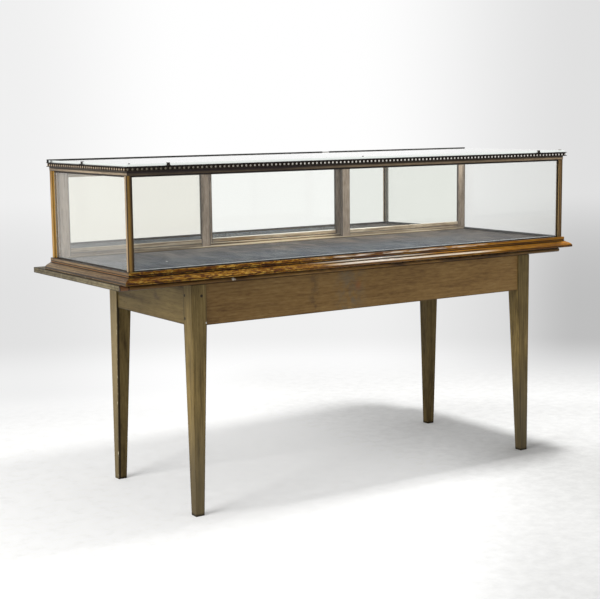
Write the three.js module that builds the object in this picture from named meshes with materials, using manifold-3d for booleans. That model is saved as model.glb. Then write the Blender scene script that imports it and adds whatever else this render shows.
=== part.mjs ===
// Glazed oak counter showcase standing on a long side table with tapered legs.
// Millimetres, +X to the right, +Y to the rear, +Z up. The origin is on the floor,
// under the middle of the whole object.
import * as THREE from 'three';
import { mergeVertices } from 'three/addons/utils/BufferGeometryUtils.js';
import Module from 'manifold-3d';

const wasm = await Module();
wasm.setup();

// Fits shared by all pieces
const seat = 0.3;
const overrun = 1;

// Leg frame of the table
const frameLength = 1444;
const frameDepth = 579;
const tableHeight = 763.5;
const legSize = 54.5;
const footSize = 31;
const legArris = 1.5;
const apronHeight = 131;
const apronThickness = 22;
const apronSetback = 5;
const apronArris = 1.2;
const tenonThickness = 12;
const tenonShoulder = 18;
const tenonLength = 26;
const blockWidth = 30;
const blockHeight = 45;
const blockGap = 3;

// Table top, which lies off centre on the leg frame, and the strip along its front edge
const topLength = 1842;
const topDepth = 655;
const topThickness = 18;
const topArris = 1;
const topShiftX = -46.5;
const topShiftY = 35.5;
const nosingDepth = 10;
const nosingCove = 4;

// Showcase, measured over the outer faces of its corner posts
const caseLength = 1822;
const caseDepth = 569;
const caseShiftX = -23;
const caseShiftY = -5.5;
const postSize = 17;
const postHeight = 290.5;
const cornerBead = 3.5;
const quirkWidth = 1.6;
const quirkDepth = 1.2;

// Glass panes and the grooves that hold them
const paneThickness = 4;
const paneInset = 8;
const paneSlack = 0.5;
const postGroove = 3;
const baseGroove = 4;
const headGroove = 6;

// Moulded base of the showcase
const baseHeight = 37.5;
const baseProjection = 28.5;
const filletProjection = 6.5;
const filletHeight = 10;
const baseArris = 1;
const baseBead = 2.2;
const baseQuirk = 1.5;
const quirkHeight = 0.6;
const ogeeTop = 8.5;
const noseHeight = 5;
const noseEase = 1.5;
const innerLip = 6;
const ledgeWidth = 12;
const ledgeHeight = 24.5;
const deckThickness = 9;
const clothThickness = 1.5;
const clothMargin = 1;

// Head rails, bead strips, top glass and its clips
const headHeight = 27.5;
const headArris = 1;
const stripHeight = 14.2;
const stripLet = 5;
const headOverhang = 11;
const stripFillet = 2;
const topGlassThickness = 7;
const topGlassReach = 3;
const topGlassInset = 5.5;
const clipWidth = 10;
const rearClipWidth = 28;
const clipGauge = 1.5;
const clipHook = 6;
const clipFoot = 6;
const rearClipFoot = 3;
const clipFromLeft = 140;
const clipFromRight = 129;
const clipSide = 306;
const clipNearCorner = 19;
const clipRear = 1126;

// Mirror doors that pass each other on two tracks at the rear
const doorThickness = 14;
const doorPlay = 0.75;
const doorLift = 0.6;
const doorTopPlay = 0.6;
const leftDoorWidth = 582;
const doorOverlap = 17.5;
const endDoorPlay = 3;
const stileWidth = 37;
const bottomRailHeight = 28;
const topRailHeight = 22;
const mirrorLip = 5;
const lipThickness = 4.5;
const mirrorThickness = 4;
const backThickness = 3;
const doorBevel = 1.5;
const stubLength = 10;
const stubThickness = 5;
const stubShoulder = 5;
const pullLength = 62;
const pullWidth = 15;
const pullDepth = 6;

// Tracks
const rearRib = 2;
const frontRib = 2.5;
const centreRidge = 2.5;
const ridgeHeight = 12;
const lowRibHeight = 3;
const trackFloor = 3.7;
const upperRibDrop = 8;

// How finely round stretches are divided
const arcSteps = 6;

// Levels, from the floor up
const topUnderside = tableHeight - topThickness;
const legTop = topUnderside - seat;
const apronBottom = legTop - apronHeight;
const baseLevel = tableHeight + seat;
const postLevel = baseLevel + baseHeight + seat;
const headLevel = postLevel + postHeight + seat;
const headTop = headLevel + headHeight;

// Places worked out from the sizes above
const caseLeft = caseShiftX - caseLength / 2;
const caseRight = caseShiftX + caseLength / 2;
const caseFront = caseShiftY - caseDepth / 2;
const caseRear = caseShiftY + caseDepth / 2;
const channelWidth = doorThickness + 2 * doorPlay;
const trackDepth = rearRib + channelWidth + centreRidge + channelWidth + frontRib;
const railInner = postSize + innerLip;
const ledgeInner = railInner + ledgeWidth;
const paneGroove = paneThickness + 2 * paneSlack;

const finish = {
  tableWood: { color: 0x75674c, roughness: 0.6, metalness: 0 },
  apronWood: { color: 0x6f5434, roughness: 0.55, metalness: 0 },
  oak: { color: 0x9a6a2a, roughness: 0.45, metalness: 0 },
  greyOak: { color: 0x8c8274, roughness: 0.7, metalness: 0 },
  bronze: { color: 0x2c211a, roughness: 0.4, metalness: 0.6 },
  glass: { color: 0xe4efea, roughness: 0.05, metalness: 0, transparent: true, opacity: 0.35 },
  mirror: { color: 0xe8ebe6, roughness: 0.05, metalness: 1 },
  panel: { color: 0x9b7b52, roughness: 0.8, metalness: 0 },
  cloth: { color: 0x59666f, roughness: 0.95, metalness: 0 },
};

const workpiece = new THREE.Group();

function addPiece(name, geometry, look) {
  const mesh = new THREE.Mesh(geometry, new THREE.MeshStandardMaterial(finish[look]));
  mesh.name = name;
  workpiece.add(mesh);
  return mesh;
}

// Outlines are lists of [across, up] points
function shapeOf(points) {
  return new THREE.Shape(points.map(([across, up]) => new THREE.Vector2(across, up)));
}

function arc(centreAcross, centreUp, radius, fromTurn, toTurn) {
  const points = [];
  for (let step = 0; step <= arcSteps; step += 1) {
    const turn = 2 * Math.PI * (fromTurn + (toTurn - fromTurn) * step / arcSteps);
    points.push([centreAcross + radius * Math.cos(turn), centreUp + radius * Math.sin(turn)]);
  }
  return points;
}

function extruded(points, depth, steps = 1) {
  return new THREE.ExtrudeGeometry(shapeOf(points), { depth, steps, bevelEnabled: false });
}

function easedRectangle(width, height, arris) {
  return [
    [arris, 0], [width - arris, 0], [width, arris], [width, height - arris],
    [width - arris, height], [arris, height], [0, height - arris], [0, arris],
  ];
}

// Solids for joints that are cut or built up
function toSolid(geometry) {
  const bare = geometry.clone();
  bare.deleteAttribute('normal');
  bare.deleteAttribute('uv');
  const merged = mergeVertices(bare);
  const vertProperties = new Float32Array(merged.attributes.position.array);
  const triVerts = new Uint32Array(merged.index.array);
  return new wasm.Manifold(new wasm.Mesh({ numProp: 3, vertProperties, triVerts }));
}

function toGeometry(solid) {
  const mesh = solid.getMesh();
  const geometry = new THREE.BufferGeometry();
  geometry.setAttribute('position', new THREE.BufferAttribute(mesh.vertProperties, 3));
  geometry.setIndex(new THREE.BufferAttribute(mesh.triVerts, 1));
  geometry.computeVertexNormals();
  return geometry;
}

function blockBetween(low, high) {
  const size = high.map((value, axis) => value - low[axis]);
  const middle = high.map((value, axis) => (value + low[axis]) / 2);
  return new THREE.BoxGeometry(...size).translate(...middle);
}

function addBlock(name, low, high, look) {
  const size = high.map((value, axis) => value - low[axis]);
  const mesh = addPiece(name, new THREE.BoxGeometry(...size), look);
  mesh.position.set(...high.map((value, axis) => (value + low[axis]) / 2));
  return mesh;
}

// Corners run anticlockwise from the front left. Each has its own frame, with the
// outer corner at the origin and both axes pointing inwards along the two sides.
const corners = [
  { name: 'front_left', sideX: -1, sideY: -1, turn: 0 },
  { name: 'front_right', sideX: 1, sideY: -1, turn: Math.PI / 2 },
  { name: 'rear_right', sideX: 1, sideY: 1, turn: Math.PI },
  { name: 'rear_left', sideX: -1, sideY: 1, turn: -Math.PI / 2 },
];

// Legs: square to the foot of the aprons, then tapered on the two inner faces
function legGeometry() {
  const geometry = extruded(easedRectangle(legSize, legSize, legArris), legTop, 2);
  const place = geometry.attributes.position;
  const shrink = footSize / legSize;
  for (let index = 0; index < place.count; index += 1) {
    const atFoot = place.getZ(index) < legTop / 4;
    const atTaper = !atFoot && place.getZ(index) < legTop * 3 / 4;
    if (atFoot) {
      place.setX(index, place.getX(index) * shrink);
      place.setY(index, place.getY(index) * shrink);
    }
    if (atTaper) {
      place.setZ(index, apronBottom);
    }
  }
  const near = apronSetback + (apronThickness - tenonThickness) / 2 - seat;
  const far = near + tenonThickness + 2 * seat;
  const low = apronBottom + tenonShoulder - seat;
  const high = legTop - tenonShoulder + seat;
  const floor = legSize - tenonLength - seat;
  const out = legSize + overrun;
  const alongX = toSolid(blockBetween([floor, near, low], [out, far, high]));
  const alongY = toSolid(blockBetween([near, floor, low], [far, out, high]));
  return toGeometry(toSolid(geometry).subtract(alongX).subtract(alongY));
}

// Corner blocks brace the aprons behind each leg
function cornerBlockGeometry() {
  const face = apronSetback + apronThickness + seat;
  const near = 2 * legSize + blockGap - face;
  const far = near + blockWidth;
  return extruded([[face, near], [near, face], [far, face], [face, far]], blockHeight);
}

const leg = legGeometry();
const cornerBlock = cornerBlockGeometry();
for (const { name, sideX, sideY, turn } of corners) {
  const legMesh = addPiece(`leg_${name}`, leg, 'tableWood');
  legMesh.position.set(sideX * frameLength / 2, sideY * frameDepth / 2, 0);
  legMesh.rotation.z = turn;
  const blockMesh = addPiece(`corner_block_${name}`, cornerBlock, 'tableWood');
  blockMesh.position.set(sideX * frameLength / 2, sideY * frameDepth / 2, legTop - blockHeight);
  blockMesh.rotation.z = turn;
}

// Aprons run between the legs and carry a stub tenon at each end
function apronGeometry(frameSpan) {
  const clear = frameSpan - 2 * legSize - 2 * seat;
  const outline = easedRectangle(apronThickness, apronHeight, apronArris);
  const board = extruded(outline, clear).translate(0, 0, -clear / 2);
  board.rotateX(Math.PI / 2).rotateZ(Math.PI / 2);
  const reach = frameSpan / 2 - legSize + tenonLength;
  const near = (apronThickness - tenonThickness) / 2;
  const tenon = blockBetween(
    [-reach, near, tenonShoulder],
    [reach, near + tenonThickness, apronHeight - tenonShoulder],
  );
  const upright = toSolid(board);
  const bounds = upright.boundingBox();
  const settled = upright.translate([0, -bounds.min[1], -bounds.min[2]]);
  return toGeometry(settled.add(toSolid(tenon)));
}

const apronSides = [
  { name: 'front', span: frameLength, x: 0, y: -frameDepth / 2 + apronSetback, turn: 0 },
  { name: 'right', span: frameDepth, x: frameLength / 2 - apronSetback, y: 0, turn: Math.PI / 2 },
  { name: 'rear', span: frameLength, x: 0, y: frameDepth / 2 - apronSetback, turn: Math.PI },
  { name: 'left', span: frameDepth, x: -frameLength / 2 + apronSetback, y: 0, turn: -Math.PI / 2 },
];
for (const { name, span, x, y, turn } of apronSides) {
  const look = name === 'front' ? 'apronWood' : 'tableWood';
  const mesh = addPiece(`apron_${name}`, apronGeometry(span), look);
  mesh.position.set(x, y, apronBottom);
  mesh.rotation.z = turn;
}

// Runs of moulding. A side has a start corner, an outward direction and a direction
// along it, so that outward, up and along are right-handed.
const up = new THREE.Vector3(0, 0, 1);
function makeSide(startX, startY, outwardX, outwardY, length) {
  const outward = new THREE.Vector3(outwardX, outwardY, 0);
  const along = new THREE.Vector3().crossVectors(outward, up);
  return { start: new THREE.Vector3(startX, startY, 0), outward, along, length };
}

const caseSides = {
  front: makeSide(caseRight, caseFront, 0, -1, caseLength),
  left: makeSide(caseLeft, caseFront, -1, 0, caseDepth),
  rear: makeSide(caseLeft, caseRear, 0, 1, caseLength),
  right: makeSide(caseRight, caseRear, 1, 0, caseDepth),
};

function placeOnSide(mesh, side, distance, level) {
  const basis = new THREE.Matrix4().makeBasis(side.outward, up, side.along);
  mesh.quaternion.setFromRotationMatrix(basis);
  mesh.position.copy(side.start).addScaledVector(side.along, distance);
  mesh.position.z = level;
}

// A mitred end follows the outline outwards, a square one is held back by an inset
function addRun(name, look, points, side, level, startEnd, finishEnd) {
  const geometry = extruded(points, side.length);
  const place = geometry.attributes.position;
  for (let index = 0; index < place.count; index += 1) {
    const atStart = place.getZ(index) < side.length / 2;
    const end = atStart ? startEnd : finishEnd;
    const reach = end.mitred ? place.getX(index) - seat / 2 : -end.inset;
    place.setZ(index, atStart ? -reach : side.length + reach);
  }
  geometry.computeVertexNormals();
  const mesh = addPiece(name, geometry, look);
  placeOnSide(mesh, side, 0, level);
  return mesh;
}

const mitre = { mitred: true };
function square(inset) {
  return { mitred: false, inset };
}

// Table top: one board, with a moulded strip along its front edge
const topLeft = topShiftX - topLength / 2;
const topRight = topShiftX + topLength / 2;
const topFront = topShiftY - topDepth / 2;
const topRear = topShiftY + topDepth / 2;
const frontEdge = makeSide(topRight, topFront + nosingDepth, 0, -1, topLength);
const boardDepth = topRear - topFront - nosingDepth - seat;
const boardOutline = easedRectangle(boardDepth, topThickness, topArris)
  .map(([across, high]) => [across - boardDepth - seat, high]);
addRun('table_top', 'tableWood', boardOutline, frontEdge, topUnderside, square(0), square(0));

const nosingRound = (topThickness - nosingCove) / 2;
const nosingFlat = nosingDepth - nosingRound;
const nosingOutline = [
  [0, 0],
  ...arc(nosingFlat, nosingRound, nosingRound, -1 / 4, 1 / 4),
  [nosingFlat, topThickness - topArris],
  [nosingFlat - topArris, topThickness],
  [0, topThickness],
];
addRun('front_nosing', 'apronWood', nosingOutline, frontEdge, topUnderside, square(0), square(0));

// Base of the showcase: fillet, small bead, ogee and rounded nose outside, a groove for
// the pane on top and a ledge for the bottom board inside
const beadCentre = baseHeight - filletHeight - quirkHeight - baseBead;
const beadFoot = beadCentre - baseBead - quirkHeight;

// The ogee swells out to the nose below and hollows in towards the bead above. Each pair
// is a share of its width and of its height.
const ogeeShares = [
  [0.96, 0.2], [0.84, 0.4], [0.66, 0.57], [0.46, 0.7], [0.26, 0.8], [0.11, 0.9], [0, 1],
];
const ogee = ogeeShares.map(([widthShare, heightShare]) => [
  ogeeTop + (baseProjection - ogeeTop) * widthShare,
  noseHeight + (beadFoot - noseHeight) * heightShare,
]);
const baseOutline = [
  [-ledgeInner, 0],
  [baseProjection - noseEase, 0],
  [baseProjection, noseEase],
  [baseProjection, noseHeight],
  ...ogee,
  [filletProjection - baseQuirk, beadFoot],
  ...arc(filletProjection - baseQuirk, beadCentre, baseBead, -1 / 4, 1 / 4),
  [filletProjection - baseQuirk, baseHeight - filletHeight],
  [filletProjection, baseHeight - filletHeight],
  [filletProjection, baseHeight - baseArris],
  [filletProjection - baseArris, baseHeight],
  [-paneInset, baseHeight],
  [-paneInset, baseHeight - baseGroove],
  [-paneInset - paneGroove, baseHeight - baseGroove],
  [-paneInset - paneGroove, baseHeight],
  [-railInner, baseHeight],
  [-railInner, ledgeHeight],
  [-ledgeInner, ledgeHeight],
];
addRun('base_rail_front', 'oak', baseOutline, caseSides.front, baseLevel, mitre, mitre);
addRun('base_rail_left', 'oak', baseOutline, caseSides.left, baseLevel, mitre, square(0));
addRun('base_rail_right', 'oak', baseOutline, caseSides.right, baseLevel, square(0), mitre);

const rearRailTop = baseHeight - trackFloor - seat;
const rearRailOutline = [
  [0, 0],
  [0, rearRailTop],
  [-trackDepth, rearRailTop],
  [-trackDepth, ledgeHeight],
  [-trackDepth - ledgeWidth, ledgeHeight],
  [-trackDepth - ledgeWidth, 0],
].reverse();
const rearRailEnd = square(ledgeInner + seat);
addRun('base_rail_rear', 'oak', rearRailOutline, caseSides.rear, baseLevel, rearRailEnd, rearRailEnd);

// Bottom board on the ledges, and the cloth that lines it
const deckLevel = baseLevel + ledgeHeight + seat;
const deckInset = railInner + seat;
const deckRear = caseRear - trackDepth - seat;
addBlock(
  'bottom_board',
  [caseLeft + deckInset, caseFront + deckInset, deckLevel],
  [caseRight - deckInset, deckRear, deckLevel + deckThickness],
  'panel',
);
const clothLevel = deckLevel + deckThickness + seat;
addBlock(
  'display_cloth',
  [caseLeft + deckInset + clothMargin, caseFront + deckInset + clothMargin, clothLevel],
  [caseRight - deckInset - clothMargin, deckRear - clothMargin, clothLevel + clothThickness],
  'cloth',
);

// Corner posts: a bead between two quirks on the outer corner, grooves for the panes
function postOutline(grooveAcross, grooveUp) {
  const quirkFar = cornerBead + quirkWidth;
  const quirkMiddle = cornerBead + quirkWidth / 2;
  const grooveFar = paneInset + paneGroove;
  const grooveFloor = postSize - postGroove;
  const acrossSide = [
    [postSize, paneInset], [grooveFloor, paneInset], [grooveFloor, grooveFar], [postSize, grooveFar],
  ];
  const upSide = [
    [grooveFar, postSize], [grooveFar, grooveFloor], [paneInset, grooveFloor], [paneInset, postSize],
  ];
  return [
    ...arc(cornerBead, cornerBead, cornerBead, 1 / 2, 3 / 4),
    [quirkMiddle, quirkDepth],
    [quirkFar, 0],
    [postSize, 0],
    ...(grooveAcross ? acrossSide : []),
    [postSize, postSize],
    ...(grooveUp ? upSide : []),
    [0, postSize],
    [0, quirkFar],
    [quirkDepth, quirkMiddle],
  ];
}

for (const { name, sideX, sideY, turn } of corners) {
  const grooveAcross = name !== 'rear_right';
  const grooveUp = name !== 'rear_left';
  const mesh = addPiece(`post_${name}`, extruded(postOutline(grooveAcross, grooveUp), postHeight), 'oak');
  mesh.position.set(caseShiftX + sideX * caseLength / 2, caseShiftY + sideY * caseDepth / 2, postLevel);
  mesh.rotation.z = turn;
}

// Head rails, set back above for the bead strip and grooved below for the pane
const stripFoot = headHeight - stripHeight;
const headOutline = [
  [-postSize, 0],
  [-paneInset - paneGroove, 0],
  [-paneInset - paneGroove, headGroove],
  [-paneInset, headGroove],
  [-paneInset, 0],
  [-headArris, 0],
  [0, headArris],
  [0, stripFoot - seat],
  [-stripLet - seat, stripFoot - seat],
  [-stripLet - seat, headHeight],
  [-postSize, headHeight],
];
addRun('head_rail_front', 'oak', headOutline, caseSides.front, headLevel, mitre, mitre);
addRun('head_rail_left', 'oak', headOutline, caseSides.left, headLevel, mitre, square(0));
addRun('head_rail_right', 'oak', headOutline, caseSides.right, headLevel, square(0), mitre);

const rearHeadFoot = trackFloor + seat;
const rearHeadOutline = easedRectangle(trackDepth, headHeight - rearHeadFoot, headArris)
  .map(([across, high]) => [across - trackDepth, high + rearHeadFoot]);
const rearHeadEnd = square(postSize + seat);
addRun('head_rail_rear', 'oak', rearHeadOutline, caseSides.rear, headLevel, rearHeadEnd, rearHeadEnd);

// Bead strips let into the head rails
const beadRadius = (stripHeight - 2 * stripFillet) / 2;
const beadSet = headOverhang - beadRadius;
const stripOutline = [
  [-stripLet, 0],
  [headOverhang - stripFillet, 0],
  [headOverhang - stripFillet, stripFillet],
  ...arc(beadSet, stripHeight / 2, beadRadius, -1 / 4, 1 / 4),
  [headOverhang - stripFillet, stripHeight - stripFillet],
  [headOverhang, stripHeight - stripFillet],
  [headOverhang, stripHeight],
  [-stripLet, stripHeight],
];
const stripLevel = headLevel + stripFoot;
addRun('bead_strip_front', 'bronze', stripOutline, caseSides.front, stripLevel, mitre, mitre);
addRun('bead_strip_left', 'bronze', stripOutline, caseSides.left, stripLevel, mitre, square(0));
addRun('bead_strip_right', 'bronze', stripOutline, caseSides.right, stripLevel, square(0), mitre);

// Panes stand in the grooves. The top glass lies on the head rails and reaches over the
// bead strips, but at the rear it stays inside the rail.
const paneLow = baseLevel + baseHeight - baseGroove + seat;
const paneHigh = headLevel + headGroove - paneSlack;
const paneEnd = postSize - postGroove + paneSlack;
const paneNear = paneInset + paneSlack;
const paneFar = paneNear + paneThickness;
addBlock(
  'glass_front',
  [caseLeft + paneEnd, caseFront + paneNear, paneLow],
  [caseRight - paneEnd, caseFront + paneFar, paneHigh],
  'glass',
);
addBlock(
  'glass_left',
  [caseLeft + paneNear, caseFront + paneEnd, paneLow],
  [caseLeft + paneFar, caseRear - paneEnd, paneHigh],
  'glass',
);
addBlock(
  'glass_right',
  [caseRight - paneFar, caseFront + paneEnd, paneLow],
  [caseRight - paneNear, caseRear - paneEnd, paneHigh],
  'glass',
);
const topGlassLevel = headTop + seat;
addBlock(
  'glass_top',
  [caseLeft - topGlassReach, caseFront - topGlassReach, topGlassLevel],
  [caseRight + topGlassReach, caseRear - topGlassInset, topGlassLevel + topGlassThickness],
  'glass',
);

// Spring clips hook over the edge of the top glass
function clipOutline(glassEdge, footLength) {
  const riserInner = glassEdge + seat;
  const riserOuter = riserInner + clipGauge;
  const hookLow = seat + topGlassThickness + seat;
  const hookHigh = hookLow + clipGauge;
  return [
    [riserInner, seat],
    [riserOuter + footLength, seat],
    [riserOuter + footLength, seat + clipGauge],
    [riserOuter, seat + clipGauge],
    [riserOuter, hookHigh],
    [riserInner - clipHook, hookHigh],
    [riserInner - clipHook, hookLow],
    [riserInner, hookLow],
  ];
}

function addClip(name, side, distance, width, outline) {
  const mesh = addPiece(name, extruded(outline, width), 'bronze');
  placeOnSide(mesh, side, distance - width / 2, headTop);
}

const stripClip = clipOutline(topGlassReach, clipFoot);
const rearClip = clipOutline(-topGlassInset, rearClipFoot);
addClip('clip_front_left', caseSides.front, caseLength - clipFromLeft, clipWidth, stripClip);
addClip('clip_front_right', caseSides.front, clipFromRight, clipWidth, stripClip);
addClip('clip_left', caseSides.left, clipSide, clipWidth, stripClip);
addClip('clip_right', caseSides.right, caseDepth - clipNearCorner, clipWidth, stripClip);
addClip('clip_rear', caseSides.rear, clipRear, rearClipWidth, rearClip);

// Tracks: a low rib in front, a ridge between the channels and a rib behind
const ribs = [
  { from: -rearRib, to: 0, tall: true },
  { from: -rearRib - channelWidth - centreRidge, to: -rearRib - channelWidth, tall: true },
  { from: -trackDepth, to: -trackDepth + frontRib, tall: false },
];

function trackOutline(floorHigh, ribTop) {
  const points = [[-trackDepth, 0], [0, 0]];
  for (const rib of ribs) {
    points.push([rib.to, floorHigh], [rib.to, ribTop(rib)]);
    points.push([rib.from, ribTop(rib)], [rib.from, floorHigh]);
  }
  return points.filter(([across, high]) => high !== floorHigh || (across !== 0 && across !== -trackDepth));
}

const lowerTrackOutline = trackOutline(
  trackFloor,
  (rib) => trackFloor + (rib.tall ? ridgeHeight : lowRibHeight),
);
const lowerTrackEnd = square(railInner + seat);
const lowerTrackLevel = baseLevel + rearRailTop + seat;
addRun(
  'track_lower', 'oak', lowerTrackOutline, caseSides.rear, lowerTrackLevel,
  lowerTrackEnd, lowerTrackEnd,
);

const upperTrackOutline = trackOutline(trackFloor, () => trackFloor + upperRibDrop)
  .map(([across, high]) => [across, trackFloor - high])
  .reverse();
const upperTrackEnd = square(postSize + seat);
addRun('track_upper', 'oak', upperTrackOutline, caseSides.rear, headLevel, upperTrackEnd, upperTrackEnd);

// Doors: each has two stiles, two rails, a mirror and a back panel. A door is laid out
// from its own left bottom corner, on the face that looks into the showcase.
const doorLow = baseLevel + baseHeight + doorLift;
const doorHigh = headLevel - doorTopPlay;
const doorHeight = doorHigh - doorLow;
const stileBody = stileWidth - mirrorLip;
const stubNear = lipThickness + (doorThickness - lipThickness - stubThickness) / 2;

// Rails lap behind the lip of each stile and end in a stub tenon
function railGeometry(clearWidth, railHeight) {
  const bodyHeight = railHeight - mirrorLip;
  const section = [
    [0, 0],
    [doorThickness, 0],
    [doorThickness, bodyHeight],
    [lipThickness, bodyHeight],
    [lipThickness, railHeight],
    [doorBevel, railHeight],
    [0, railHeight - doorBevel],
  ];
  const bar = extruded(section, clearWidth - 2 * seat).translate(0, 0, seat);
  const upright = bar.rotateX(Math.PI / 2).rotateZ(Math.PI / 2);
  const lap = blockBetween(
    [-mirrorLip + seat, lipThickness + seat, 0],
    [clearWidth + mirrorLip - seat, doorThickness, bodyHeight],
  );
  const stub = blockBetween(
    [-mirrorLip - stubLength, stubNear, stubShoulder],
    [clearWidth + mirrorLip + stubLength, stubNear + stubThickness, bodyHeight - stubShoulder],
  );
  return toGeometry(toSolid(upright).add(toSolid(lap)).add(toSolid(stub)));
}

function stileGeometry(withPull) {
  const section = [
    [0, 0],
    [stileWidth - doorBevel, 0],
    [stileWidth, doorBevel],
    [stileWidth, lipThickness],
    [stileBody, lipThickness],
    [stileBody, doorThickness],
    [0, doorThickness],
  ];
  let solid = toSolid(extruded(section, doorHeight));
  const mortise = (low, high) => toSolid(blockBetween(
    [stileBody - stubLength - seat, stubNear - seat, low - seat],
    [stileBody + overrun, stubNear + stubThickness + seat, high + seat],
  ));
  const bottomHigh = bottomRailHeight - mirrorLip - stubShoulder;
  const topLow = doorHeight - topRailHeight + mirrorLip + stubShoulder;
  solid = solid.subtract(mortise(stubShoulder, bottomHigh));
  solid = solid.subtract(mortise(topLow, doorHeight - stubShoulder));
  if (withPull) {
    const radius = pullWidth / 2;
    const straight = pullLength / 2 - radius;
    const slot = extruded([
      ...arc(0, straight, radius, 0, 1 / 2),
      ...arc(0, -straight, radius, 1 / 2, 1),
    ], pullDepth + overrun);
    slot.rotateX(Math.PI / 2);
    slot.translate(stileBody / 2, doorThickness + overrun, doorHeight / 2);
    solid = solid.subtract(toSolid(slot));
  }
  return toGeometry(solid);
}

// The right stile and the top rail are mirror images of the left and the bottom one
function mirrored(geometry, axis) {
  const flip = [1, 1, 1];
  flip[axis] = -1;
  return toGeometry(toSolid(geometry).scale(flip));
}

function addDoor(name, left, width, inner, pullLeft, pullRight) {
  const face = caseRear - rearRib - doorPlay - doorThickness - (inner ? channelWidth + centreRidge : 0);
  const clearWidth = width - 2 * stileWidth;
  const stileLeft = addPiece(`${name}_stile_left`, stileGeometry(pullLeft), 'greyOak');
  stileLeft.position.set(left, face, doorLow);
  const stileRight = addPiece(`${name}_stile_right`, mirrored(stileGeometry(pullRight), 0), 'greyOak');
  stileRight.position.set(left + width, face, doorLow);
  const railLow = addPiece(`${name}_rail_bottom`, railGeometry(clearWidth, bottomRailHeight), 'greyOak');
  railLow.position.set(left + stileWidth, face, doorLow);
  const railHighShape = mirrored(railGeometry(clearWidth, topRailHeight), 2);
  const railHigh = addPiece(`${name}_rail_top`, railHighShape, 'greyOak');
  railHigh.position.set(left + stileWidth, face, doorHigh);
  const sheetLeft = left + stileBody + paneSlack;
  const sheetRight = left + width - stileBody - paneSlack;
  const sheetLow = doorLow + bottomRailHeight - mirrorLip + seat;
  const sheetHigh = doorHigh - topRailHeight + mirrorLip - paneSlack;
  const mirrorFace = face + lipThickness + seat;
  const backFace = mirrorFace + mirrorThickness + seat;
  addBlock(
    `${name}_mirror`,
    [sheetLeft, mirrorFace, sheetLow],
    [sheetRight, mirrorFace + mirrorThickness, sheetHigh],
    'mirror',
  );
  addBlock(
    `${name}_back`,
    [sheetLeft, backFace, sheetLow],
    [sheetRight, backFace + backThickness, sheetHigh],
    'panel',
  );
}

const doorEnd = paneFar + endDoorPlay;
const leftDoorStart = caseLeft + doorEnd;
const middleDoorStart = leftDoorStart + leftDoorWidth - doorOverlap;
const wideDoorWidth = (caseRight - doorEnd - middleDoorStart + doorOverlap) / 2;
const rightDoorStart = caseRight - doorEnd - wideDoorWidth;
addDoor('door_left', leftDoorStart, leftDoorWidth, true, true, false);
addDoor('door_middle', middleDoorStart, wideDoorWidth, false, true, true);
addDoor('door_right', rightDoorStart, wideDoorWidth, true, false, true);

// The whole stands with the middle of its outer box over the origin
const outerLeft = Math.min(topLeft, caseLeft - baseProjection);
const outerRight = Math.max(topRight, caseRight + baseProjection);
const outerFront = Math.min(topFront, caseFront - baseProjection);
const outerRear = Math.max(topRear, caseRear);
workpiece.position.set(-(outerLeft + outerRight) / 2, -(outerFront + outerRear) / 2, 0);

const showcase = new THREE.Group();
showcase.add(workpiece);

export default showcase;
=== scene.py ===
# %% [markdown]
# # A collectors display table
# A long glazed showcase of oak stands on a plain side table with tapered legs. Three mirror
# doors slide past each other at the back, a dark row of beads runs under the glass top, and a
# blue-grey cloth lies on the floor of the case. The lesson builds the camera and the studio
# first, then one finish after another, and last the small pieces that a plain model leaves out.

import math

import bmesh
import bpy
from mathutils import Matrix, Vector


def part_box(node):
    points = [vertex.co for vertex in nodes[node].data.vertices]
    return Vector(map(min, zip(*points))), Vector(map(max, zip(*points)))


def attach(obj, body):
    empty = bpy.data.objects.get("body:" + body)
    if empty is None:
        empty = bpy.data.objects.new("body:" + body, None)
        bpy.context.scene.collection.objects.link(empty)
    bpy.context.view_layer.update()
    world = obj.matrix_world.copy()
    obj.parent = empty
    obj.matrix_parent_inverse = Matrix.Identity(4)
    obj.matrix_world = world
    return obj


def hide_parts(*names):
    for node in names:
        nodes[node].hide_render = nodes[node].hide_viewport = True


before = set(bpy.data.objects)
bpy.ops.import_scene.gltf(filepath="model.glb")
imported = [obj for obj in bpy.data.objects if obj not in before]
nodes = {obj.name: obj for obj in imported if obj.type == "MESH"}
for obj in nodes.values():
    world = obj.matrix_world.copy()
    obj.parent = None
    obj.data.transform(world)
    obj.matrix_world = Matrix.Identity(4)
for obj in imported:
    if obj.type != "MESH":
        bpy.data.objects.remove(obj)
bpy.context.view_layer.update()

# %% [markdown]
# ## The camera
# The photograph was taken with a long lens from the left front, a little above the glass top.
# A camera can be aimed at an empty, but a turn, a tip and a roll, written as three rotations,
# say plainly how it was held.

# %% Camera
LENS_MM = 78.76
SENSOR_MM = 36
CAMERA_PLACE = Vector((-2.6938, -3.85445, 1.2637))
TURN = math.radians(34.183)
TIP = math.radians(7.949)
ROLL = math.radians(0.621)

camera_data = bpy.data.cameras.new("camera")
camera_data.lens = LENS_MM
camera_data.sensor_width = SENSOR_MM
camera = bpy.data.objects.new("camera", camera_data)
bpy.context.scene.collection.objects.link(camera)
camera.matrix_world = (
    Matrix.Translation(CAMERA_PLACE)
    @ Matrix.Rotation(-TURN, 4, "Z")
    @ Matrix.Rotation(math.pi / 2 - TIP, 4, "X")
    @ Matrix.Rotation(-ROLL, 4, "Z")
)
bpy.context.scene.camera = camera
bpy.context.scene.view_settings.view_transform = "Standard"
print("the camera stands", round(CAMERA_PLACE.length, 2), "m from the middle of the floor")

# %% [markdown]
# ## Writing finishes as sums
# A finish is a tree of nodes, and joining dozens of them one by one hides the idea. Here a value
# in the tree is wrapped in a small class, so that a mask can be written as 1 - worn * 0.5, and
# every other node comes from one method that takes its type, its settings and its inputs.

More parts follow.
